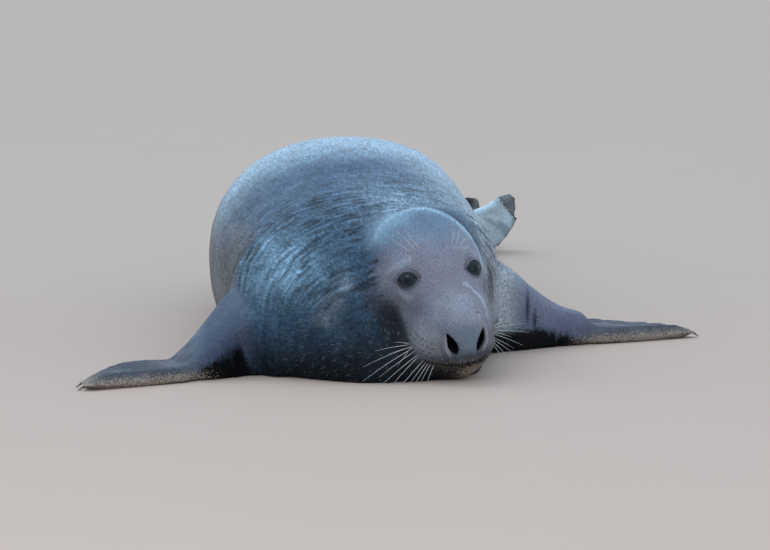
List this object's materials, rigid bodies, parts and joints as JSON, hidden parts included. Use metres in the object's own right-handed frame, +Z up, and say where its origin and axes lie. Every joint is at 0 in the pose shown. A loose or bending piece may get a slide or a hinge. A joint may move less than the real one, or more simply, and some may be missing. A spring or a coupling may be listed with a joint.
{
  "type": "grey seal",
  "caption": "Grey seal resting on its belly, head turned and chin on the ground, both fore flippers spread; a still, life-size display model.",
  "frame": {"origin": "on the ground, under the middle of the whole animal's box", "axes": "+Z up; the face looks along -Y and the hind flippers lie towards +Y; the seal's left is towards +X"},
  "size_m": [1.0926, 1.9398, 0.329],
  "materials": {
    "coat": "damp short fur, slate blue-grey above, darker and blotched below",
    "face": "damp very short fur, mauve-grey",
    "flipper": "leathery skin with short fur",
    "nose": "damp bare skin",
    "eye": "wet and glossy",
    "claw": "dark horn, semi-gloss"
  },
  "bodies": {
    "root": {"belly": "coat", "chest": "coat", "eye_left": "eye", "eye_right": "eye", "fore_claw_left_1": "claw", "fore_claw_left_2": "claw", "fore_claw_left_3": "claw", "fore_claw_left_4": "claw", "fore_claw_left_5": "claw", "fore_claw_right_1": "claw", "fore_claw_right_2": "claw", "fore_claw_right_3": "claw", "fore_claw_right_4": "claw", "fore_claw_right_5": "claw", "fore_flipper_left": "flipper", "fore_flipper_right": "flipper", "head": "face", "hind_claw_left_1": "claw", "hind_claw_left_2": "claw", "hind_claw_left_3": "claw", "hind_claw_left_4": "claw", "hind_claw_left_5": "claw", "hind_claw_right_1": "claw", "hind_claw_right_2": "claw", "hind_claw_right_3": "claw", "hind_claw_right_4": "claw", "hind_claw_right_5": "claw", "hind_flipper_left": "flipper", "hind_flipper_right": "flipper", "hips": "coat", "lower_jaw": "face", "neck": "coat", "nose": "nose", "tail": "coat"}
  },
  "joints": []
}
